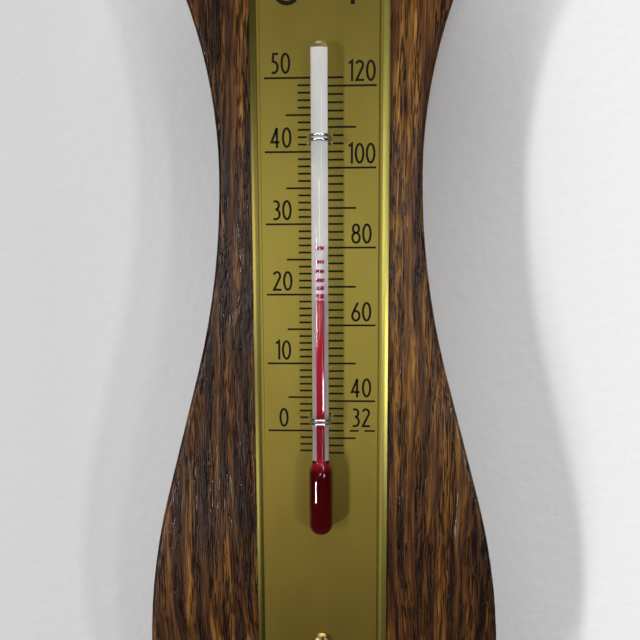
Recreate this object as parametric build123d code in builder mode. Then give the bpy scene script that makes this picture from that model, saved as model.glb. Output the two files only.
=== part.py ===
"""Wall thermometer: a red spirit tube on a gold scale plate, screwed to an hourglass oak board.

Millimetres. +Z is up and the front faces -Y. The origin lies on the board's flat back face, half way
up the board. A "depth" is measured forwards from that back face, so a point at depth d has y = -d.
"""

import os
from math import cos, radians, sin, tan

from build123d import *

# --- board -----------------------------------------------------------------------------------------
BOARD_THICKNESS = 18.0
FRONT_EDGE_RADIUS = 1.8
BACK_EDGE_RADIUS = 0.8
WAIST_HALF_WIDTH = 29.9
NECK_RADIUS = 145.0  # hollow side from the waist up to the upper lobe
NECK_TURN = 26.0  # degrees that the hollow side turns before the upper lobe starts
FLANK_RADIUS = 235.0  # hollow side from the waist down
FLANK_TURN = 14.9  # degrees between the straight flank and the vertical
FLANK_LENGTH = 40.0
HIP_RADIUS = 205.0  # swelling side above the lower lobe
HIP_OVERRUN = 3.6  # degrees that the hip turns in past its widest point

# --- scale -----------------------------------------------------------------------------------------
TEN_DEGREES = 20.6  # spacing of ten degrees Celsius
WAIST_ABOVE_ZERO = 77.0  # from the 0 degree mark up to the board's waist
ZERO_Z = -36.49  # the 0 degree mark, from the middle of the board
READING = 19.35  # degrees Celsius that the unbroken column shows

# --- scale plate -----------------------------------------------------------------------------------
PLATE_HALF_WIDTH = 20.0
PLATE_GAUGE = 0.5
PLATE_BOTTOM = ZERO_Z - 74.0
PLATE_TOP = ZERO_Z + 152.5
FIELD_HALF_WIDTH = 16.95
FIELD_HEIGHT = 1.4  # top of the flat field above the board
FIELD_EDGE_RADIUS = 0.3
CHANNEL_INNER_X = 17.3  # a flat channel between the field and the bead along each edge
CHANNEL_OUTER_X = 17.9
CHANNEL_HEIGHT = 0.86
CHANNEL_RADIUS = 0.15
BEAD_INNER_X = 18.15
BEAD_INNER_HEIGHT = 1.09
BEAD_TOP_X = 18.6
BEAD_TOP_HEIGHT = 1.13
BEAD_RADIUS = 2.8
BEAD_OUTER_HEIGHT = 0.76
SCREW_INSET = 6.0  # plate end to screw centre

# --- glass tube ------------------------------------------------------------------------------------
STEM_RADIUS = 2.4
BULB_RADIUS = 3.55
BULB_WALL = 0.3
BORE_RADIUS = 0.8
BULB_GAP = 0.05  # between the bulb and the plate
TUBE_DEPTH = BOARD_THICKNESS + FIELD_HEIGHT + BULB_RADIUS + BULB_GAP
STEM_TOP = ZERO_Z + 112.5
BULB_BOTTOM = ZERO_Z - 31.0
SHOULDER_TOP = ZERO_Z - 7.4
SHOULDER_BOTTOM = ZERO_Z - 12.0
SHOULDER_PULL = 0.5  # reach of the S curve's handles, as a share of its height
INNER_SHOULDER_DROP = 0.2  # the bulb's cavity narrows this much below the outer shoulder
BORE_TOP = ZERO_Z + 109.4
ENAMEL_WIDTH = 3.2
ENAMEL_THICKNESS = 0.4
ENAMEL_BEHIND_AXIS = 1.35
ENAMEL_TOP = ZERO_Z + 110.4
ENAMEL_BOTTOM = ZERO_Z - 8.4

# --- spirit ----------------------------------------------------------------------------------------
LIQUID_GAP = 0.02  # keeps a liquid solid off the glass round it
THREAD_RADIUS = BORE_RADIUS - 0.03
MENISCUS_LENGTH = 0.8
MENISCUS_DISH = 0.25
MENISCUS_RADIUS = 1.3
SLUG_EDGE_RADIUS = 0.15
# Slugs of the broken thread above the column: (middle above the 0 degree mark, length).
SLUGS = ((40.95, 1.45), (43.3, 1.2), (45.65, 1.15), (48.2, 0.95), (50.9, 0.95), (54.85, 1.0))

# --- wire clips ------------------------------------------------------------------------------------
WIRE_RADIUS = 0.42
STRAND_PITCH = 1.22  # between the two strands of one doubled wire
CLIP_HEIGHTS = {"upper": ZERO_Z + 85.6, "lower": ZERO_Z + 4.2}
CLIP_GAP = 0.05  # between the wire and the stem
CLIP_HALF_SPAN = STEM_RADIUS + WIRE_RADIUS + CLIP_GAP
FOOT_LENGTH = 2.4
FOOT_BEND = 0.5
FOOT_HEIGHT = 0.45  # centre of the clinched foot above the board
CLIP_HOLE_WIDTH = 1.2
CLIP_HOLE_HEIGHT = 2.6

# --- plate screws ----------------------------------------------------------------------------------
SCREW_HEAD_RADIUS = 3.0
SCREW_HEAD_HEIGHT = 1.9
SCREW_HEAD_EDGE = 0.3  # height of the upright edge below the dome
SCREW_SHANK_RADIUS = 1.2
SCREW_LENGTH = 13.0
SCREW_POINT = 2.5
SCREW_SLOT_WIDTH = 0.75
SCREW_SLOT_DEPTH = 0.95
SCREW_SLOT_TURN = 80.0  # degrees from level
TIP_GAP = 0.2  # between a screw's point and the end of its pilot hole
PLATE_HOLE_RADIUS = 1.4
PILOT_CLEARANCE = 0.05

# --- hanger on the back ----------------------------------------------------------------------------
HINGE_Z = 148.0
RECESS_DEPTH = 5.5
RECESS_WIDTH = 25.0
RECESS_ABOVE = 20.0
RECESS_BELOW = 31.0
RECESS_CORNER = 4.0
RING_WIRE_RADIUS = 1.0
RING_HALF_WIDTH = 8.0
RING_LEG = 5.0
RING_CORNER = 1.8
RING_GAP = 0.5  # butt joint in the middle of the ring's bar
EYE_CLEARANCE = 0.08
STRAP_GAUGE = 0.8
STRAP_WIDTH = 9.0
STRAP_LENGTH = 26.0
STRAP_CORNER = 2.5
STRAP_SCREW_DROPS = (9.0, 20.0)  # below the hinge
STRAP_HEAD_RADIUS = 2.3
STRAP_HEAD_HEIGHT = 1.4
STRAP_HEAD_BEVEL = 0.5
STRAP_SHANK_RADIUS = 0.9
STRAP_SCREW_LENGTH = 8.0
STRAP_SCREW_POINT = 1.8
STRAP_SLOT_WIDTH = 0.6
STRAP_SLOT_DEPTH = 0.7
STRAP_SLOT_TURN = 70.0
STRAP_HOLE_RADIUS = 1.1

EYE_INNER = RING_WIRE_RADIUS + EYE_CLEARANCE
EYE_OUTER = EYE_INNER + STRAP_GAUGE
HINGE_DEPTH = RECESS_DEPTH - EYE_OUTER  # the eye rests on the recess floor
FIELD_DEPTH = BOARD_THICKNESS + FIELD_HEIGHT
TUBE_AXIS = Axis((0, -TUBE_DEPTH, 0), (0, 0, 1))
COLUMN_FOOT = SHOULDER_TOP + 0.5  # the bulb's filling ends and the column starts here
COLUMN_TOP = ZERO_Z + READING * TEN_DEGREES / 10
TOUCH = 0.01  # two positions nearer than this are the same
SCREW_HEIGHTS = {"top": PLATE_TOP - SCREW_INSET, "bottom": PLATE_BOTTOM + SCREW_INSET}


def at_depth(depth):
    """A sketch plane facing the front, depth in front of the board's back: sketch x is X, sketch y is Z."""
    return Plane.XZ.offset(depth)


def board_outline():
    """The right-hand half of the hourglass, waist to both ends, mirrored to the left."""
    waist_z = ZERO_Z + WAIST_ABOVE_ZERO
    neck = JernArc((WAIST_HALF_WIDTH, waist_z), (0, 1), NECK_RADIUS, -NECK_TURN)
    upper_radius = (neck @ 1).X / cos(radians(NECK_TURN))
    JernArc(neck @ 1, neck % 1, upper_radius, 90 + NECK_TURN)
    flank = JernArc((WAIST_HALF_WIDTH, waist_z), (0, -1), FLANK_RADIUS, FLANK_TURN)
    straight = Line(flank @ 1, flank @ 1 + (flank % 1) * FLANK_LENGTH)
    hip = JernArc(straight @ 1, straight % 1, HIP_RADIUS, -FLANK_TURN - HIP_OVERRUN)
    lower_radius = (hip @ 1).X / cos(radians(HIP_OVERRUN))
    JernArc(hip @ 1, hip % 1, lower_radius, -90 + HIP_OVERRUN)
    mirror(about=Plane.YZ)


def tube_outline(wall, stem_radius, top, shoulder_drop=0.0):
    """Half section of the bulb, shoulder and stem, inset by wall, about the tube's axis."""
    bulb_radius = BULB_RADIUS - wall
    bottom = BULB_BOTTOM + wall
    low = SHOULDER_BOTTOM - shoulder_drop
    high = SHOULDER_TOP - shoulder_drop
    pull = SHOULDER_PULL * (high - low)
    RadiusArc((0, bottom), (bulb_radius, bottom + bulb_radius), -bulb_radius)
    Line((bulb_radius, bottom + bulb_radius), (bulb_radius, low))
    Bezier((bulb_radius, low), (bulb_radius, low + pull), (stem_radius, high - pull), (stem_radius, high))
    Line((stem_radius, high), (stem_radius, top))
    Line((stem_radius, top), (0, top))
    Line((0, top), (0, bottom))


# --- board -----------------------------------------------------------------------------------------
with BuildPart() as board:
    with BuildSketch(at_depth(0)):
        with BuildLine():
            board_outline()
        make_face()
    extrude(amount=BOARD_THICKNESS)
    fillet(board.faces().sort_by(Axis.Y)[0].edges(), FRONT_EDGE_RADIUS)
    fillet(board.faces().sort_by(Axis.Y)[-1].edges(), BACK_EDGE_RADIUS)
    recess_middle = HINGE_Z + (RECESS_ABOVE - RECESS_BELOW) / 2
    with BuildSketch(at_depth(0)):
        with Locations((0, recess_middle)):
            RectangleRounded(RECESS_WIDTH, RECESS_ABOVE + RECESS_BELOW, RECESS_CORNER)
    extrude(amount=RECESS_DEPTH, mode=Mode.SUBTRACT)
    with BuildSketch(at_depth(BOARD_THICKNESS)):
        with Locations(*[(0, z) for z in SCREW_HEIGHTS.values()]):
            Circle(SCREW_SHANK_RADIUS + PILOT_CLEARANCE)
    extrude(amount=-(SCREW_LENGTH - FIELD_HEIGHT), mode=Mode.SUBTRACT)
    with BuildSketch(at_depth(RECESS_DEPTH)):
        with Locations(*[(0, HINGE_Z - drop) for drop in STRAP_SCREW_DROPS]):
            Circle(STRAP_SHANK_RADIUS + PILOT_CLEARANCE)
    extrude(amount=STRAP_SCREW_LENGTH, mode=Mode.SUBTRACT)
board.part.label = "board"

# --- scale plate: a pressed strip with a raised field, and a channel and a bead along each edge ---------
plate_end = Plane((0, -BOARD_THICKNESS, PLATE_BOTTOM), x_dir=(1, 0, 0), z_dir=(0, 0, -1))
channel_under = CHANNEL_HEIGHT - PLATE_GAUGE
with BuildPart() as scale_plate:
    with BuildSketch(plate_end) as plate_section:
        with BuildLine():
            face = Polyline(
                (0, FIELD_HEIGHT),
                (FIELD_HALF_WIDTH, FIELD_HEIGHT),
                (CHANNEL_INNER_X, CHANNEL_HEIGHT),
                (CHANNEL_OUTER_X, CHANNEL_HEIGHT),
                (BEAD_INNER_X, BEAD_INNER_HEIGHT),
            )
            bead = RadiusArc(face @ 1, (PLATE_HALF_WIDTH, BEAD_OUTER_HEIGHT), BEAD_RADIUS)
            Polyline(
                bead @ 1,
                (PLATE_HALF_WIDTH, 0),
                (PLATE_HALF_WIDTH - PLATE_GAUGE, 0),
                (BEAD_TOP_X, BEAD_TOP_HEIGHT - PLATE_GAUGE),
                (CHANNEL_OUTER_X, channel_under),
                (CHANNEL_INNER_X - PLATE_GAUGE / 2, channel_under),
                (FIELD_HALF_WIDTH - PLATE_GAUGE, FIELD_HEIGHT - PLATE_GAUGE),
                (0, FIELD_HEIGHT - PLATE_GAUGE),
            )
            mirror(about=Plane.YZ)
        make_face()
        corners = plate_section.vertices()
        fillet([v for v in corners if abs(abs(v.X) - FIELD_HALF_WIDTH) < TOUCH], FIELD_EDGE_RADIUS)
        corners = plate_section.vertices()
        fillet([v for v in corners if abs(v.Y - CHANNEL_HEIGHT) < TOUCH], CHANNEL_RADIUS)
    extrude(amount=PLATE_BOTTOM - PLATE_TOP)
    with BuildSketch(at_depth(BOARD_THICKNESS)):
        with Locations(*[(0, z) for z in SCREW_HEIGHTS.values()]):
            Circle(PLATE_HOLE_RADIUS)
        holes = [(side * CLIP_HALF_SPAN, z) for z in CLIP_HEIGHTS.values() for side in (-1, 1)]
        with Locations(*holes):
            SlotOverall(CLIP_HOLE_HEIGHT, CLIP_HOLE_WIDTH, rotation=90)
    extrude(amount=2 * FIELD_HEIGHT, mode=Mode.SUBTRACT)
scale_plate.part.label = "scale_plate"

# --- glass tube: sealed stem and bulb, with a bore and a slot for the enamel ---------------------------
stem_end = STEM_TOP - STEM_RADIUS
with BuildPart() as glass_tube:
    with BuildSketch(at_depth(TUBE_DEPTH)):
        with BuildLine():
            tube_outline(0, STEM_RADIUS, stem_end)
        make_face()
    revolve(axis=TUBE_AXIS)
    with BuildSketch(at_depth(TUBE_DEPTH)):
        with BuildLine():
            RadiusArc((0, STEM_TOP), (STEM_RADIUS, stem_end), STEM_RADIUS)
            Line((STEM_RADIUS, stem_end), (0, stem_end))
            Line((0, stem_end), (0, STEM_TOP))
        make_face()
    revolve(axis=TUBE_AXIS)
    with BuildSketch(at_depth(TUBE_DEPTH)):
        with BuildLine():
            tube_outline(BULB_WALL, BORE_RADIUS, BORE_TOP, INNER_SHOULDER_DROP)
        make_face()
    revolve(axis=TUBE_AXIS, mode=Mode.SUBTRACT)
    with BuildSketch(Plane.XY.offset(ENAMEL_BOTTOM)):
        with Locations((0, -TUBE_DEPTH + ENAMEL_BEHIND_AXIS)):
            Rectangle(ENAMEL_WIDTH, ENAMEL_THICKNESS)
    extrude(amount=ENAMEL_TOP - ENAMEL_BOTTOM, mode=Mode.SUBTRACT)
glass_tube.part.label = "glass_tube"

with BuildPart() as enamel_strip:
    with BuildSketch(Plane.XY.offset(ENAMEL_BOTTOM)):
        with Locations((0, -TUBE_DEPTH + ENAMEL_BEHIND_AXIS)):
            Rectangle(ENAMEL_WIDTH, ENAMEL_THICKNESS)
    extrude(amount=ENAMEL_TOP - ENAMEL_BOTTOM)
enamel_strip.part.label = "enamel_strip"

# --- spirit: bulb filling, column, meniscus and the slugs of the broken thread -------------------------
with BuildPart() as spirit_reservoir:
    with BuildSketch(at_depth(TUBE_DEPTH)):
        with BuildLine():
            liquid_wall = BULB_WALL + LIQUID_GAP
            tube_outline(liquid_wall, THREAD_RADIUS, COLUMN_FOOT, INNER_SHOULDER_DROP)
        make_face()
    revolve(axis=TUBE_AXIS)
spirit_reservoir.part.label = "spirit_reservoir"

with BuildPart() as spirit_column:
    with BuildSketch(Plane.XY.offset(COLUMN_FOOT)):
        with Locations((0, -TUBE_DEPTH)):
            Circle(THREAD_RADIUS)
    extrude(amount=COLUMN_TOP - MENISCUS_LENGTH - COLUMN_FOOT)
spirit_column.part.label = "spirit_column"

with BuildPart() as spirit_meniscus:
    with BuildSketch(at_depth(TUBE_DEPTH)):
        with BuildLine():
            base = COLUMN_TOP - MENISCUS_LENGTH
            dish = RadiusArc((0, COLUMN_TOP - MENISCUS_DISH), (THREAD_RADIUS, COLUMN_TOP), -MENISCUS_RADIUS)
            Line(dish @ 1, (THREAD_RADIUS, base))
            Line((THREAD_RADIUS, base), (0, base))
            Line((0, base), dish @ 0)
        make_face()
    revolve(axis=TUBE_AXIS)
spirit_meniscus.part.label = "spirit_meniscus"

slugs = []
for number, (middle, length) in enumerate(SLUGS, start=1):
    with BuildPart() as slug:
        with BuildSketch(Plane.XY.offset(ZERO_Z + middle - length / 2)):
            with Locations((0, -TUBE_DEPTH)):
                Circle(THREAD_RADIUS)
        extrude(amount=length)
        fillet(slug.edges(), SLUG_EDGE_RADIUS)
    slug.part.label = f"spirit_slug_{number}"
    slugs.append(slug)

# --- wire clips: one doubled wire over the stem, through the plate, its feet clinched outwards ---------
bend_x = CLIP_HALF_SPAN + FOOT_BEND
bend_height = FOOT_HEIGHT + FOOT_BEND
stem_height = TUBE_DEPTH - BOARD_THICKNESS
foot_end = bend_x + FOOT_LENGTH
clips = []
for place, middle in CLIP_HEIGHTS.items():
    strands = (middle - STRAND_PITCH / 2, middle + STRAND_PITCH / 2)
    with BuildPart() as clip:
        for z in strands:
            strand_plane = Plane((0, -BOARD_THICKNESS, z), x_dir=(1, 0, 0), z_dir=(0, 0, -1))
            with BuildLine(strand_plane) as route:
                foot = Line((-foot_end, FOOT_HEIGHT), (-bend_x, FOOT_HEIGHT))
                bend = RadiusArc(foot @ 1, (-CLIP_HALF_SPAN, bend_height), -FOOT_BEND)
                leg = Line(bend @ 1, (-CLIP_HALF_SPAN, stem_height))
                over = RadiusArc(leg @ 1, (CLIP_HALF_SPAN, stem_height), CLIP_HALF_SPAN)
                far_leg = Line(over @ 1, (CLIP_HALF_SPAN, bend_height))
                far_bend = RadiusArc(far_leg @ 1, (bend_x, FOOT_HEIGHT), -FOOT_BEND)
                Line(far_bend @ 1, (foot_end, FOOT_HEIGHT))
            with BuildSketch(Plane(route.line @ 0, z_dir=route.line % 0)):
                Circle(WIRE_RADIUS)
            sweep(path=route.line)
        with BuildLine(at_depth(BOARD_THICKNESS + FOOT_HEIGHT)) as hairpin:
            RadiusArc((foot_end, strands[0]), (foot_end, strands[1]), -STRAND_PITCH / 2)
        with BuildSketch(Plane(hairpin.line @ 0, z_dir=hairpin.line % 0)):
            Circle(WIRE_RADIUS)
        sweep(path=hairpin.line)
    clip.part.label = f"wire_clip_{place}"
    clips.append(clip)

# --- plate screws: slotted round heads -------------------------------------------------------------
plate_screws = []
for place, height in SCREW_HEIGHTS.items():
    screw_axis = Axis((0, 0, height), (0, 1, 0))
    with BuildPart() as screw:
        with BuildSketch(Plane.XY.offset(height)):
            with BuildLine():
                crown = -(FIELD_DEPTH + SCREW_HEAD_HEIGHT)
                seat = -FIELD_DEPTH
                tip = seat + SCREW_LENGTH
                rise = SCREW_HEAD_HEIGHT - SCREW_HEAD_EDGE
                dome_radius = (SCREW_HEAD_RADIUS**2 + rise**2) / (2 * rise)
                dome = RadiusArc((0, crown), (SCREW_HEAD_RADIUS, crown + rise), -dome_radius)
                Polyline(
                    dome @ 1,
                    (SCREW_HEAD_RADIUS, seat),
                    (SCREW_SHANK_RADIUS, seat),
                    (SCREW_SHANK_RADIUS, tip - SCREW_POINT),
                    (0, tip - TIP_GAP),
                    dome @ 0,
                )
            make_face()
        revolve(axis=screw_axis)
        with BuildSketch(at_depth(FIELD_DEPTH + SCREW_HEAD_HEIGHT)):
            with Locations((0, height)):
                Rectangle(3 * SCREW_HEAD_RADIUS, SCREW_SLOT_WIDTH, rotation=SCREW_SLOT_TURN)
        extrude(amount=-SCREW_SLOT_DEPTH, mode=Mode.SUBTRACT)
    screw.part.label = f"plate_screw_{place}"
    plate_screws.append(screw)

# --- hanger: a strap rolled round the ring's bar, two screws, and the swinging ring ---------------------
strap_floor = -RECESS_DEPTH
hinge_y = -HINGE_DEPTH
with BuildPart() as hanger_strap:
    with BuildSketch(Plane.YZ.offset(-STRAP_WIDTH / 2)):
        with Locations((hinge_y, HINGE_Z)):
            Circle(EYE_OUTER)
        with Locations((strap_floor + STRAP_GAUGE / 2, HINGE_Z - STRAP_LENGTH / 2)):
            Rectangle(STRAP_GAUGE, STRAP_LENGTH)
        with Locations((hinge_y, HINGE_Z)):
            Circle(EYE_INNER, mode=Mode.SUBTRACT)
    extrude(amount=STRAP_WIDTH)
    end_corners = hanger_strap.edges().filter_by(Axis.Y).group_by(Axis.Z)[0]
    fillet(end_corners, STRAP_CORNER)
    with BuildSketch(at_depth(RECESS_DEPTH)):
        with Locations(*[(0, HINGE_Z - drop) for drop in STRAP_SCREW_DROPS]):
            Circle(STRAP_HOLE_RADIUS)
    extrude(amount=-STRAP_GAUGE, mode=Mode.SUBTRACT)
hanger_strap.part.label = "hanger_strap"

with BuildPart() as hanger_ring:
    with BuildLine(at_depth(HINGE_DEPTH)) as loop:
        top = HINGE_Z + RING_LEG
        corner = RING_HALF_WIDTH - RING_CORNER
        bar = Line((-RING_GAP / 2, HINGE_Z), (-corner, HINGE_Z))
        turn = RadiusArc(bar @ 1, (-RING_HALF_WIDTH, HINGE_Z + RING_CORNER), RING_CORNER)
        leg = Line(turn @ 1, (-RING_HALF_WIDTH, top))
        bow = RadiusArc(leg @ 1, (RING_HALF_WIDTH, top), RING_HALF_WIDTH)
        far_leg = Line(bow @ 1, (RING_HALF_WIDTH, HINGE_Z + RING_CORNER))
        far_turn = RadiusArc(far_leg @ 1, (corner, HINGE_Z), RING_CORNER)
        Line(far_turn @ 1, (RING_GAP / 2, HINGE_Z))
    with BuildSketch(Plane(loop.line @ 0, z_dir=loop.line % 0)):
        Circle(RING_WIRE_RADIUS)
    sweep(path=loop.line)
hanger_ring.part.label = "hanger_ring"

strap_screws = []
for name, drop in zip(("upper", "lower"), STRAP_SCREW_DROPS):
    strap_screw_z = HINGE_Z - drop
    with BuildPart() as screw:
        with BuildSketch(Plane.XY.offset(strap_screw_z)):
            with BuildLine():
                seat = strap_floor + STRAP_GAUGE
                crown = seat + STRAP_HEAD_HEIGHT
                tip = strap_floor - STRAP_SCREW_LENGTH + TIP_GAP
                Polyline(
                    (0, crown),
                    (STRAP_HEAD_RADIUS - STRAP_HEAD_BEVEL, crown),
                    (STRAP_HEAD_RADIUS, crown - STRAP_HEAD_BEVEL),
                    (STRAP_HEAD_RADIUS, seat),
                    (STRAP_SHANK_RADIUS, seat),
                    (STRAP_SHANK_RADIUS, tip + STRAP_SCREW_POINT),
                    (0, tip),
                    close=True,
                )
            make_face()
        revolve(axis=Axis((0, 0, strap_screw_z), (0, 1, 0)))
        with BuildSketch(at_depth(-crown)):
            with Locations((0, strap_screw_z)):
                Rectangle(3 * STRAP_HEAD_RADIUS, STRAP_SLOT_WIDTH, rotation=STRAP_SLOT_TURN)
        extrude(amount=STRAP_SLOT_DEPTH, mode=Mode.SUBTRACT)
    screw.part.label = f"hanger_screw_{name}"
    strap_screws.append(screw)

# --- files -----------------------------------------------------------------------------------------
made = [board, scale_plate, glass_tube, enamel_strip, spirit_reservoir, spirit_column, spirit_meniscus]
made += slugs + clips + plate_screws + [hanger_strap, hanger_ring] + strap_screws
os.makedirs("parts", exist_ok=True)
for piece in made:
    export_step(piece.part, f"parts/{piece.part.label}.step")
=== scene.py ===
from math import cos, hypot, pi, radians, sin

import bpy
from mathutils import Matrix, Vector


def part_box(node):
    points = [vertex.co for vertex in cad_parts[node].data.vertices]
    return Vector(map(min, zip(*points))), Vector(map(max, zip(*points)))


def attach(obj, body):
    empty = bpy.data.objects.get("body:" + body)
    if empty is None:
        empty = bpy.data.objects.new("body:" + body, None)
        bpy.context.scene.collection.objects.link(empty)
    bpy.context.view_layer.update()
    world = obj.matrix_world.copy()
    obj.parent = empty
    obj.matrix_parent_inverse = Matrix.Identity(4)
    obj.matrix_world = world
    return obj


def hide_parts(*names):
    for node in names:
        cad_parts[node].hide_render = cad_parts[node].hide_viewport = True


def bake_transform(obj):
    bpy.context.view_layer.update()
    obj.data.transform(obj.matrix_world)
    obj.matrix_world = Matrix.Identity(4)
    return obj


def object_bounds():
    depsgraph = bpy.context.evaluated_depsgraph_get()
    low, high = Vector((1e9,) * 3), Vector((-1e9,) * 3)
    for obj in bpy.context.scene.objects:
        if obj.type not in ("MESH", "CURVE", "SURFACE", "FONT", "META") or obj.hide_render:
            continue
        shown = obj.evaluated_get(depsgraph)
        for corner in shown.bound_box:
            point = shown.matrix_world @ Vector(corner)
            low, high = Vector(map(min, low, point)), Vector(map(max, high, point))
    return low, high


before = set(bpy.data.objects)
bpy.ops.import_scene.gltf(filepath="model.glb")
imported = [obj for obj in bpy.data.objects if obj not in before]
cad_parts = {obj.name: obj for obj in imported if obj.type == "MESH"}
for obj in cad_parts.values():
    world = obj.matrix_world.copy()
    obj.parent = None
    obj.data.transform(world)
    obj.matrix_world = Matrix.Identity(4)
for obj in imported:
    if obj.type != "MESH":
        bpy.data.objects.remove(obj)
cad_low, cad_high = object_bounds()
MM = 0.001

# The scale: the 0 degree mark and the spacing of ten degrees Celsius, as in the CAD model.
ZERO_Z = -36.49 * MM
TEN_DEGREES = 20.6 * MM

plate_low, plate_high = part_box("scale_plate")
tube_low, tube_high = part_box("glass_tube")
FIELD_Y = plate_low.y
TUBE_Y = (tube_low.y + tube_high.y) / 2

# The glass tube: the stem's radius, and the heights between which the bulb narrows to the stem.
STEM_RADIUS = 2.4 * MM
SHOULDER = (ZERO_Z - 12.0 * MM, ZERO_Z - 7.4 * MM)


# --- small helpers ---------------------------------------------------------------------------------
def object_from(name, mesh):
    piece = bpy.data.objects.new(name, mesh)
    bpy.context.scene.collection.objects.link(piece)
    return piece


def mesh_object(name, vertices, faces, smooth=True):
    mesh = bpy.data.meshes.new(name)
    mesh.from_pydata(vertices, [], faces)
    mesh.validate()
    mesh.update()
    for polygon in mesh.polygons:
        polygon.use_smooth = smooth
    return object_from(name, mesh)


class Shader:
    """A material with a Principled shader, and short ways to add the nodes that feed it."""

    def __init__(self, name, **sockets):
        self.material = bpy.data.materials.new(name)
        self.material.use_nodes = True
        self.tree = self.material.node_tree
        self.main = self.tree.nodes["Principled BSDF"]
        for socket, value in sockets.items():
            self.main.inputs[socket.replace("_", " ")].default_value = value

    def node(self, kind, settings=None, **inputs):
        made = self.tree.nodes.new("ShaderNode" + kind)
        for key, value in (settings or {}).items():
            setattr(made, key, value)
        for key, value in inputs.items():
            self.feed(made.inputs[key.replace("_", " ")], value)
        return made

    def feed(self, socket, value):
        if isinstance(value, bpy.types.NodeSocket):
            self.tree.links.new(value, socket)
        else:
            socket.default_value = value

    def place(self, scale=(1, 1, 1)):
        """Position in the object's own frame, in metres, stretched."""
        where = self.node("TexCoord").outputs["Object"]
        return self.node("Mapping", Vector=where, Scale=scale).outputs["Vector"]

    def position(self):
        """Position in the object's own frame, in metres, as separate X, Y and Z."""
        return self.node("SeparateXYZ", Vector=self.place()).outputs

    def between(self, value, low, high):
        """0 below low, 1 above high, and even in between."""
        return self.node("MapRange", Value=value, From_Min=low, From_Max=high).outputs["Result"]

    def noise(self, vector, detail=3.0, roughness=0.55):
        return self.node("TexNoise", Vector=vector, Scale=1.0, Detail=detail, Roughness=roughness).outputs["Fac"]

    def ramp(self, value, stops, mode="EASE"):
        made = self.node("ValToRGB", Fac=value)
        made.color_ramp.interpolation = mode
        band = made.color_ramp.elements
        while len(band) < len(stops):
            band.new(1.0)
        for element, (position, colour) in zip(band, stops):
            element.position = position
            element.color = (*colour, 1) if isinstance(colour, tuple) else (colour, colour, colour, 1)
        return made.outputs["Color"]

    def math(self, operation, first, second=0.0):
        made = self.node("Math", {"operation": operation})
        self.feed(made.inputs[0], first)
        self.feed(made.inputs[1], second)
        return made.outputs[0]

    def mix(self, factor, first, second, blend="MIX"):
        made = self.node("Mix", {"data_type": "RGBA", "blend_type": blend})
        self.feed(made.inputs[0], factor)
        self.feed(made.inputs[6], first)
        self.feed(made.inputs[7], second)
        return made.outputs[2]

    def bump(self, height, distance, strength=1.0):
        return self.node("Bump", Height=height, Distance=distance, Strength=strength).outputs["Normal"]


def paint(node_names, material):
    for name in node_names:
        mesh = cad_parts[name].data
        mesh.materials.clear()
        mesh.materials.append(material)


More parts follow.
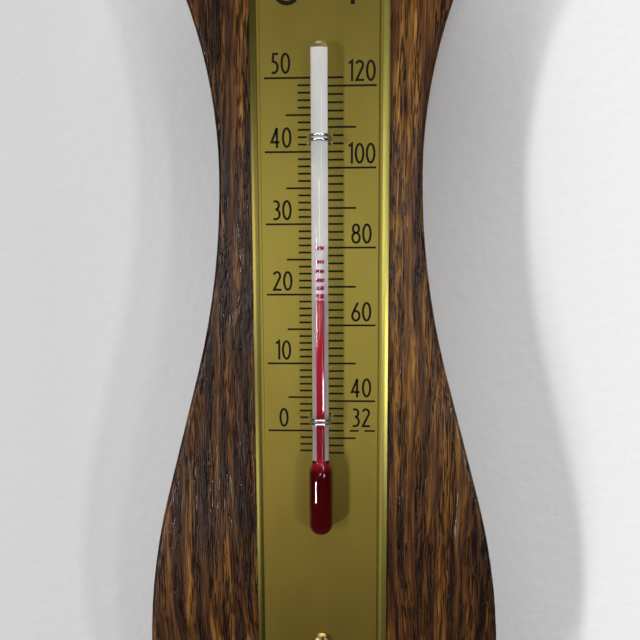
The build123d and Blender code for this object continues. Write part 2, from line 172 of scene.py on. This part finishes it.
# --- materials -------------------------------------------------------------------------------------
def oak():
    """Dark stained oak: golden and brown streaks and open dark pores that glint.

    The tone turns lighter and more golden right of the plate, and more so towards the top. That is painted light,
    fitted to stand in for light that falls there, not a known property of the wood.
    """
    s = Shader("oak", Specular_IOR_Level=0.22)
    sway = s.noise(s.place((16, 16, 7)), detail=1)
    ripple = s.noise(s.place((120, 120, 45)), detail=1)
    where = s.position()
    bend = s.math("ADD", s.math("MULTIPLY", sway, 16 * MM), s.math("MULTIPLY", ripple, 1.6 * MM))
    x = s.math("ADD", where["X"], bend)
    swayed = s.node("CombineXYZ", X=x, Y=where["Y"], Z=where["Z"]).outputs["Vector"]

    def streaks(width, length, seed, detail, roughness=0.55):
        scaled = s.node("Mapping", Vector=swayed, Scale=(1 / width, 1 / width, 1 / length), Location=(seed, 0, 0))
        return s.noise(scaled.outputs["Vector"], detail, roughness)

    rings = streaks(5.5 * MM, 190 * MM, 3.1, 2.0)
    bands = streaks(2.3 * MM, 42 * MM, 7.7, 2.0)
    flecks = streaks(1.15 * MM, 20 * MM, 4.9, 2.0)
    fibres = streaks(0.45 * MM, 13 * MM, 1.3, 2.0, 0.6)
    pores = streaks(0.46 * MM, 7.0 * MM, 9.2, 1.0)
    zones = streaks(3.2 * MM, 60 * MM, 5.6, 1.0)

    grain = s.math("ADD", s.math("MULTIPLY", rings, 0.30), s.math("MULTIPLY", bands, 0.40))
    grain = s.math("ADD", grain, s.math("MULTIPLY", flecks, 0.39))
    grain = s.math("ADD", grain, s.math("MULTIPLY", fibres, 0.16))
    span = s.between(where["X"], cad_low.x, cad_high.x)
    # Painted light: lighter and more golden right of the plate, and more so towards the top.
    painted_light_side = s.ramp(
        span,
        [(0.0, 0.38), (0.24, 0.40), (0.32, 0.46), (0.5, 0.45), (0.68, 0.66), (0.78, 0.78), (0.90, 0.53), (1.0, 0.46)],
    )
    height = s.between(where["Z"], ZERO_Z - 60 * MM, ZERO_Z + 30 * MM)
    reach = s.math("ADD", s.math("MULTIPLY", height, 0.20), 0.08)
    tone = s.math("ADD", grain, s.math("MULTIPLY", s.math("SUBTRACT", painted_light_side, 0.5), reach))
    colour = s.ramp(
        tone,
        [
            (0.50, (0.010, 0.004, 0.003)),
            (0.57, (0.024, 0.009, 0.004)),
            (0.63, (0.050, 0.018, 0.005)),
            (0.70, (0.104, 0.040, 0.008)),
            (0.78, (0.200, 0.090, 0.016)),
            (0.86, (0.330, 0.170, 0.030)),
        ],
        "LINEAR",
    )
    open_zone = s.ramp(zones, [(0.40, 0.35), (0.56, 1.0)])
    deep = s.ramp(pores, [(0.42, 1.0), (0.50, 0.0)])
    deep = s.math("MULTIPLY", deep, open_zone)
    colour = s.mix(s.math("MULTIPLY", deep, 0.85), colour, (0.007, 0.005, 0.004, 1))
    s.feed(s.main.inputs["Base Color"], colour)
    relief = s.math("SUBTRACT", s.math("MULTIPLY", flecks, 0.7), s.math("MULTIPLY", deep, 1.8))
    relief = s.math("ADD", relief, s.math("MULTIPLY", fibres, 0.9))
    s.feed(s.main.inputs["Roughness"], s.math("SUBTRACT", 0.34, s.math("MULTIPLY", deep, 0.18)))
    s.feed(s.main.inputs["Normal"], s.bump(relief, 0.18 * MM, 1.0))
    return s.material


# Distance from the plate's middle over which the flat channel turns into the bead.
BEAD_EDGE = (17.9 * MM, 18.2 * MM)


def gold_plate():
    """Gold anodised sheet, rolled lengthwise so that light spreads sideways.

    The two beads' different tones, and the pinker field towards both ends, stand in for light that the lamps don't
    give. They are painted by position, so they stay in every view.
    """
    s = Shader("gold_anodised", Metallic=1.0, Anisotropic=0.6)
    fine = s.noise(s.place((7000, 7000, 7000)), detail=2)
    cloud = s.noise(s.place((90, 90, 40)), detail=4)
    where = s.position()
    warmth = s.ramp(
        s.between(where["Z"], plate_low.z, plate_high.z),
        [(0.14, (1, 0.91, 0.92)), (0.45, (1, 1, 1)), (0.68, (1, 1, 1)), (0.98, (1, 0.92, 0.95))],
    )
    lacquer = s.ramp(cloud, [(0.3, (0.200, 0.160, 0.031)), (0.7, (0.220, 0.177, 0.035))])
    lacquer = s.mix(1.0, lacquer, warmth, "MULTIPLY")
    bead = s.between(s.math("ABSOLUTE", where["X"]), *BEAD_EDGE)
    right_side = s.math("GREATER_THAN", where["X"], 0.0)
    bead_tone = s.ramp(right_side, [(0.0, (0.120, 0.100, 0.024)), (1.0, (0.42, 0.365, 0.09))])
    s.feed(s.main.inputs["Base Color"], s.mix(bead, lacquer, bead_tone))
    shine = s.math("ADD", s.math("MULTIPLY", fine, 0.06), s.math("MULTIPLY", cloud, 0.06))
    satin = s.math("SUBTRACT", 0.50, s.math("MULTIPLY", bead, 0.18))
    s.feed(s.main.inputs["Roughness"], s.math("ADD", shine, satin))
    s.feed(s.main.inputs["Normal"], s.bump(fine, 0.004 * MM, 0.5))
    return s.material


def clear_glass():
    s = Shader("clear_glass", Roughness=0.0, IOR=1.5, Transmission_Weight=1.0, Base_Color=(0.985, 0.99, 0.99, 1))
    return s.material


def white_enamel():
    s = Shader("white_enamel", Roughness=0.35)
    cloud = s.noise(s.place((500, 500, 60)), detail=3)
    s.feed(s.main.inputs["Base Color"], s.ramp(cloud, [(0.35, (0.79, 0.765, 0.74)), (0.65, (0.84, 0.815, 0.78))]))
    return s.material


def red_spirit(name, thin, thick):
    """Dyed spirit as an opaque red: bright against the enamel in the stem, and dark in the deep bulb."""
    s = Shader(name, Roughness=0.25, Specular_IOR_Level=0.0)
    depth = s.between(s.position()["Z"], SHOULDER[0] + 1.0 * MM, SHOULDER[0] + 3.4 * MM)
    cloud = s.noise(s.place((900, 900, 300)), detail=2)
    thread = s.ramp(cloud, [(0.3, thin), (0.7, tuple(1.12 * c for c in thin))])
    s.feed(s.main.inputs["Base Color"], s.mix(depth, (*thick, 1), thread))
    return s.material


def metal(name, colour, darker, roughness):
    s = Shader(name, Metallic=1.0)
    cloud = s.noise(s.place((700, 700, 700)), detail=5)
    s.feed(s.main.inputs["Base Color"], s.ramp(cloud, [(0.35, darker), (0.65, colour)]))
    s.feed(s.main.inputs["Roughness"], s.math("ADD", s.math("MULTIPLY", cloud, 0.22), roughness))
    s.feed(s.main.inputs["Normal"], s.bump(cloud, 0.02 * MM, 0.25))
    return s.material


def print_black():
    s = Shader("print_black", Roughness=0.60, Specular_IOR_Level=0.06)
    wear = s.noise(s.place((2600, 2600, 2600)), detail=3)
    s.feed(s.main.inputs["Base Color"], s.ramp(wear, [(0.30, (0.005, 0.004, 0.002)), (0.75, (0.011, 0.008, 0.005))]))
    return s.material


# --- printed scale ---------------------------------------------------------------------------------
PRINT_THICKNESS = 0.03 * MM
TICK_WIDTH = 0.56 * MM
DIGIT_STROKE = 0.65 * MM
LETTER_STROKE = 1.22 * MM
# A number's foot above its mark, and the letters' foot.
DIGIT_RAISE = 1.15 * MM
LETTER_BASE = ZERO_Z + 122.7 * MM
# Middles of the numbers and of the two letters, left and right of the tube.
CELSIUS_MIDDLE, FAHRENHEIT_MIDDLE = -11.2 * MM, 12.0 * MM
C_MIDDLE, F_MIDDLE = -9.65 * MM, 11.3 * MM
# How far a mark reaches from the plate's middle, by the degrees that it divides.
CELSIUS_REACH = {10: 15.9 * MM, 5: 9.8 * MM, 1: 6.3 * MM}
FAHRENHEIT_REACH = {20: 16.2 * MM, 10: 10.4 * MM, 2: 6.8 * MM}
# The two short marks beside 32 degrees Fahrenheit, at the height of 0 degrees Celsius.
FREEZING_DASHES = ((8.7 * MM, 11.3 * MM), (13.1 * MM, 16.2 * MM))
ARC_STEP = 9
# Shortest length that counts as a step between two points.
TINY = 1e-9
# The least that a stroke's half width is divided by at a corner, so that sharp corners don't spike.
MITRE_LIMIT = 0.45


def arc(cx, cy, rx, ry, start, end):
    """Points along an ellipse's arc, by angle in degrees, anticlockwise when end is the larger."""
    count = max(2, round(abs(end - start) / ARC_STEP) + 1)
    angles = [radians(start + (end - start) * i / (count - 1)) for i in range(count)]
    return [(cx + rx * cos(a), cy + ry * sin(a)) for a in angles]


# Centre lines of the strokes of each character, in millimetres from its lower left corner, and its width.
GLYPHS = {
    "0": (2.75, [arc(1.375, 2.9, 1.07, 2.6, 0, 360)]),
    "1": (1.55, [[(0.25, 4.85), (1.15, 5.6), (1.15, 0.0)]]),
    "2": (2.7, [arc(1.30, 4.38, 0.95, 1.12, 160, -28) + [(0.42, 0.31), (2.6, 0.31)]]),
    "3": (2.6, [arc(1.12, 4.32, 0.93, 1.18, 125, -90), arc(1.05, 1.72, 1.20, 1.42, 90, -122)]),
    "4": (2.9, [[(2.62, 1.62), (0.30, 1.62), (1.86, 5.5)], [(1.86, 5.7), (1.86, 0.0)]]),
    "5": (2.6, [[(2.35, 5.49), (0.98, 5.49), (0.80, 3.42)] + arc(0.98, 1.82, 1.20, 1.52, 88, -115)]),
    "6": (2.75, [[(1.98, 5.65), (0.72, 3.0)], arc(1.375, 1.72, 1.07, 1.43, 0, 360)]),
    "8": (2.75, [arc(1.375, 4.32, 0.86, 1.20, 0, 360), arc(1.375, 1.70, 1.07, 1.42, 0, 360)]),
    "C": (7.6, [arc(4.3, 4.75, 3.65, 4.15, 48, 312)]),
    "F": (5.0, [[(0.6, 0.0), (0.6, 8.9), (5.0, 8.9)], [(0.6, 4.9), (4.5, 4.9)]]),
}
GLYPH_GAP = 0.42


class Print:
    """Collects flat strokes on the plate's field, as closed strips of even thickness."""

    def __init__(self):
        self.vertices = []
        self.faces = []

    def stroke(self, points, width):
        closed = hypot(points[0][0] - points[-1][0], points[0][1] - points[-1][1]) < TINY
        if closed:
            points = points[:-1]
        count = len(points)
        base = len(self.vertices)
        for i, (px, pz) in enumerate(points):
            before = points[i - 1] if i or closed else points[i]
            after = points[(i + 1) % count] if i < count - 1 or closed else points[i]
            first = Vector((px - before[0], pz - before[1]))
            second = Vector((after[0] - px, after[1] - pz))
            first = first.normalized() if first.length > TINY else second.normalized()
            second = second.normalized() if second.length > TINY else first
            along = (first + second).normalized()
            side = Vector((-along.y, along.x))
            reach = width / 2 / max(MITRE_LIMIT, side.dot(Vector((-first.y, first.x))))
            for across in (-reach, reach):
                x, z = px + side.x * across, pz + side.y * across
                self.vertices.append((x, FIELD_Y, z))
                self.vertices.append((x, FIELD_Y - PRINT_THICKNESS, z))
        rings = [[base + 4 * i + k for k in (0, 1, 3, 2)] for i in range(count)]
        pairs = list(zip(rings, rings[1:] + rings[:1])) if closed else list(zip(rings, rings[1:]))
        for a, b in pairs:
            self.faces += [(a[k], a[(k + 1) % 4], b[(k + 1) % 4], b[k]) for k in range(4)]
        if not closed:
            self.faces += [tuple(reversed(rings[0])), tuple(rings[-1])]

    def tick(self, x_from, x_to, z):
        self.stroke([(x_from, z), (x_to, z)], TICK_WIDTH)

    def word(self, text, middle, base, stroke):
        total = sum(GLYPHS[c][0] for c in text) + GLYPH_GAP * (len(text) - 1)
        x = middle - total * MM / 2
        for character in text:
            advance, lines = GLYPHS[character]
            for line in lines:
                self.stroke([(x + px * MM, base + pz * MM) for px, pz in line], stroke)
            x += (advance + GLYPH_GAP) * MM


# The wire clips' heights, how far above and below them their holes matter, and where marks start beside a hole.
CLIP_HEIGHTS = (ZERO_Z + 85.6 * MM, ZERO_Z + 4.2 * MM)
CLIP_HOLE_REACH = 1.6 * MM
CLIP_HOLE_EDGE = 3.75 * MM
UNDER_TUBE = 1.6 * MM


def tick_start(z):
    """Ticks start under the tube, or outside the wire holes where they would run into one."""
    beside_hole = min(abs(z - height) for height in CLIP_HEIGHTS) < CLIP_HOLE_REACH
    return CLIP_HOLE_EDGE if beside_hole else UNDER_TUBE


def celsius(degree):
    return ZERO_Z + degree * TEN_DEGREES / 10


def fahrenheit(degree):
    return ZERO_Z + (degree - 32) / 1.8 * TEN_DEGREES / 10


def reach_of(degree, reaches):
    """The reach of the coarsest division that the degree falls on."""
    return next(reach for step, reach in reaches.items() if degree % step == 0)


def scale_print():
    page = Print()
    for degree in range(-3, 51):
        z = celsius(degree)
        page.tick(-reach_of(degree, CELSIUS_REACH), -tick_start(z), z)
    for degree in range(26, 123, 2):
        z = fahrenheit(degree)
        page.tick(tick_start(z), reach_of(degree, FAHRENHEIT_REACH), z)
    for x_from, x_to in FREEZING_DASHES:
        page.tick(x_from, x_to, ZERO_Z)
    for degree in range(0, 51, 10):
        page.word(str(degree), CELSIUS_MIDDLE, celsius(degree) + DIGIT_RAISE, DIGIT_STROKE)
    for degree in (32, 40, 60, 80, 100, 120):
        page.word(str(degree), FAHRENHEIT_MIDDLE, fahrenheit(degree) + DIGIT_RAISE, DIGIT_STROKE)
    page.word("C", C_MIDDLE, LETTER_BASE, LETTER_STROKE)
    page.word("F", F_MIDDLE, LETTER_BASE, LETTER_STROKE)
    made = mesh_object("scale_print", page.vertices, page.faces, smooth=False)
    made.data.materials.append(print_black())
    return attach(made, "root")


# --- glass tube: one clear skin round the enamel and the spirit ---------------------------------------
TURN_STEPS = 96
PROFILE_STEPS = 12


def ring_points(radius, z):
    """Points of a level circle about the tube's axis."""
    angles = [2 * pi * i / TURN_STEPS for i in range(TURN_STEPS)]
    return [(radius * cos(a), TUBE_Y + radius * sin(a), z) for a in angles]


def turned(name, profile):
    """A closed surface of revolution about the tube's axis; the profile runs from pole to pole as (radius, z)."""
    vertices = [(0, TUBE_Y, profile[0][1])]
    for radius, z in profile[1:-1]:
        vertices += ring_points(radius, z)
    vertices.append((0, TUBE_Y, profile[-1][1]))
    faces = [(0, 1 + (i + 1) % TURN_STEPS, 1 + i) for i in range(TURN_STEPS)]
    rings = len(profile) - 2
    for ring in range(rings - 1):
        low = 1 + ring * TURN_STEPS
        high = low + TURN_STEPS
        for i in range(TURN_STEPS):
            j = (i + 1) % TURN_STEPS
            faces.append((low + i, low + j, high + j, high + i))
    last = 1 + (rings - 1) * TURN_STEPS
    faces += [(last + i, last + (i + 1) % TURN_STEPS, len(vertices) - 1) for i in range(TURN_STEPS)]
    return mesh_object(name, vertices, faces)


def glass_skin():
    bulb_radius = (tube_high.x - tube_low.x) / 2
    bottom, top = tube_low.z, tube_high.z
    low, high = SHOULDER
    steps = [i / PROFILE_STEPS for i in range(PROFILE_STEPS + 1)]
    turns = [radians(90 * i / PROFILE_STEPS) for i in range(PROFILE_STEPS + 1)]
    profile = [(bulb_radius * sin(a), bottom + bulb_radius * (1 - cos(a))) for a in turns]
    for t in steps:
        ease = t * t * (3 - 2 * t)
        profile.append((bulb_radius + (STEM_RADIUS - bulb_radius) * ease, low + (high - low) * t))
    profile += [(STEM_RADIUS * cos(a), top - STEM_RADIUS * (1 - sin(a))) for a in turns]
    skin = turned("glass_skin", profile)
    skin.data.materials.append(clear_glass())
    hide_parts("glass_tube")
    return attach(skin, "root")


def spirit_thread(material):
    """The column, with points only at its two ends, so that it stretches evenly as the meniscus moves."""
    low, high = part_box("spirit_column")
    radius = (high.x - low.x) / 2
    vertices = ring_points(radius, low.z) + ring_points(radius, high.z)
    following = [(i + 1) % TURN_STEPS for i in range(TURN_STEPS)]
    faces = [(i, j, TURN_STEPS + j, TURN_STEPS + i) for i, j in enumerate(following)]
    faces += [tuple(reversed(range(TURN_STEPS))), tuple(range(TURN_STEPS, 2 * TURN_STEPS))]
    thread = mesh_object("spirit_thread", vertices, faces)
    for polygon in thread.data.polygons[-2:]:
        polygon.use_smooth = False
    thread.data.materials.append(material)
    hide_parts("spirit_column")
    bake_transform(thread)
    return thread


# --- stage: wall, floor, lights and camera -----------------------------------------------------------
WALL_GAP = 22.0 * MM
STAGE_REACH = 3.0
FLOOR_DROP = 1.1
# The wall's tone rises from left to right between these two places, in place of light that falls off.
WALL_SHADE_X = (-0.10, 0.12)
WALL_SHADE = (0.505, 0.745)


def wall_material():
    """Pale matt wall that shows from the front only, so that it never hides the object's back."""
    s = Shader("wall_paint", Roughness=0.9)
    where = s.node("TexCoord").outputs["Object"]
    x = s.node("SeparateXYZ", Vector=where).outputs["X"]
    (left, right), (darker, lighter) = WALL_SHADE_X, WALL_SHADE
    shade = s.node("MapRange", Value=x, From_Min=left, From_Max=right, To_Min=darker, To_Max=lighter)
    s.feed(s.main.inputs["Base Color"], shade.outputs["Result"])
    plaster = s.node("TexNoise", Vector=where, Scale=260.0, Detail=3.0).outputs["Fac"]
    s.feed(s.main.inputs["Normal"], s.bump(plaster, 0.25 * MM))
    choose = s.node("MixShader", Fac=s.node("NewGeometry").outputs["Backfacing"])
    s.feed(choose.inputs[1], s.main.outputs["BSDF"])
    s.feed(choose.inputs[2], s.node("BsdfTransparent").outputs["BSDF"])
    s.feed(s.tree.nodes["Material Output"].inputs["Surface"], choose.outputs["Shader"])
    return s.material


def stage():
    """A floor below the object and a wall behind it. The wall gives the object no light, reflection or shadow."""
    reach, floor_z, wall_y = STAGE_REACH, cad_low.z - FLOOR_DROP, cad_high.y + WALL_GAP
    ends = ((-reach, -reach), (reach, -reach), (reach, reach), (-reach, reach))
    floor = mesh_object("floor", [(x, y, floor_z) for x, y in ends], [(0, 1, 2, 3)], smooth=False)
    floor.data.materials.append(Shader("floor_paint", Roughness=0.9, Base_Color=(0.10, 0.10, 0.11, 1)).material)
    corners = ((-reach, floor_z), (reach, floor_z), (reach, reach), (-reach, reach))
    wall = mesh_object("wall", [(x, wall_y, z) for x, z in corners], [(0, 1, 2, 3)], smooth=False)
    wall.data.materials.append(wall_material())
    wall.visible_diffuse = False
    wall.visible_glossy = False
    wall.visible_transmission = False
    wall.visible_shadow = False


# The viewpoint: 193 mm in front of the plate, a little above the middle of the scale and right of the tube.
VIEW_DISTANCE = 192.9 * MM
VIEW_SIDE = 7.6 * MM
VIEW_HEIGHT = 56.1 * MM
EYE_LEVEL = ZERO_Z + VIEW_HEIGHT
# Degrees that the camera looks down, turns left and leans, and its focal length and sensor width in millimetres.
VIEW_DOWN, VIEW_LEFT, VIEW_ROLL = 6.63, 2.31, 0.26
LENS = 36.9
SENSOR = 36.0


def lamp(name, side, rise, distance, size, power):
    """A soft rectangular lamp aimed at the scale from side degrees to the right and rise degrees above."""
    light = bpy.data.lights.new(name, "AREA")
    light.shape = "RECTANGLE"
    light.size, light.size_y = size
    light.energy = power
    made = object_from(name, light)
    level = distance * cos(radians(rise))
    offset = Vector((level * sin(radians(side)), -level * cos(radians(side)), distance * sin(radians(rise))))
    made.location = Vector((0, FIELD_Y, EYE_LEVEL)) + offset
    made.rotation_euler = (-offset).to_track_quat("-Z", "Y").to_euler()
    made.visible_glossy = name not in UNREFLECTED


# Each lamp: degrees to the right, degrees above, distance, width and height in metres, and watts.
LAMPS = {
    "window_left": (-45, -1, 1.2, (0.06, 0.26), 6.6),
    "key_low_left": (-45, -24, 1.0, (0.09, 0.09), 2.6),
    "low_right": (42, -12, 1.0, (0.07, 0.07), 2.2),
    "near_left": (-2, 2, 1.3, (0.20, 0.36), 2.4),
    "rim_right": (31, 0, 1.2, (0.07, 0.80), 1.8),
    "overhead": (0, 62, 1.6, (1.6, 1.0), 22.0),
    "back_lamp": (152, -10, 1.2, (0.9, 0.8), 2.6),
    "back_fill": (180, 20, 1.2, (0.9, 0.7), 12.0),
}
# Lamps that light a surface without showing in it, so that the board's sides don't glare from the front.
UNREFLECTED = ("back_fill",)
WORLD_STRENGTH = 0.02


def lighting():
    world = bpy.data.worlds.new("studio")
    bpy.context.scene.world = world
    world.use_nodes = True
    sky = world.node_tree.nodes["Background"].inputs
    sky["Color"].default_value = (0.90, 0.92, 0.95, 1)
    sky["Strength"].default_value = WORLD_STRENGTH
    for name, (side, rise, distance, size, power) in LAMPS.items():
        lamp(name, side, rise, distance, size, power)


def camera():
    lens = bpy.data.cameras.new("camera")
    lens.lens = LENS
    lens.sensor_width = SENSOR
    lens.clip_start = 0.01
    eye = object_from("camera", lens)
    upright = Matrix.Rotation(radians(90 - VIEW_DOWN), 4, "X")
    turn = Matrix.Rotation(radians(VIEW_LEFT), 4, "Z")
    roll = Matrix.Rotation(radians(-VIEW_ROLL), 4, "Z")
    place = Matrix.Translation((VIEW_SIDE, FIELD_Y - VIEW_DISTANCE, EYE_LEVEL))
    eye.matrix_world = place @ turn @ upright @ roll
    bpy.context.scene.camera = eye


# --- the scene -------------------------------------------------------------------------------------
camera()
DEEP_RED = (0.085, 0.0012, 0.0022)
spirit = red_spirit("red_spirit", (0.42, 0.012, 0.036), DEEP_RED)
spirit_thin = red_spirit("red_spirit_thin", (0.40, 0.020, 0.16), DEEP_RED)
paint(["board"], oak())
paint(["scale_plate"], gold_plate())
paint(["enamel_strip"], white_enamel())
paint(["spirit_reservoir", "spirit_meniscus"], spirit)
paint([f"spirit_slug_{i}" for i in range(1, 7)], spirit_thin)
paint(["wire_clip_upper", "wire_clip_lower"], metal("tinned_wire", (0.80, 0.80, 0.80), (0.60, 0.60, 0.62), 0.10))
paint(["plate_screw_top", "plate_screw_bottom"], metal("screw_brass", (0.42, 0.31, 0.12), (0.28, 0.19, 0.07), 0.26))
zinc = metal("zinc_steel", (0.66, 0.67, 0.68), (0.48, 0.49, 0.50), 0.26)
paint(["hanger_strap", "hanger_ring", "hanger_screw_upper", "hanger_screw_lower"], zinc)
scale_print()
glass_skin()
spirit_thread(spirit)
stage()
lighting()
bpy.context.scene.view_settings.view_transform = "Standard"
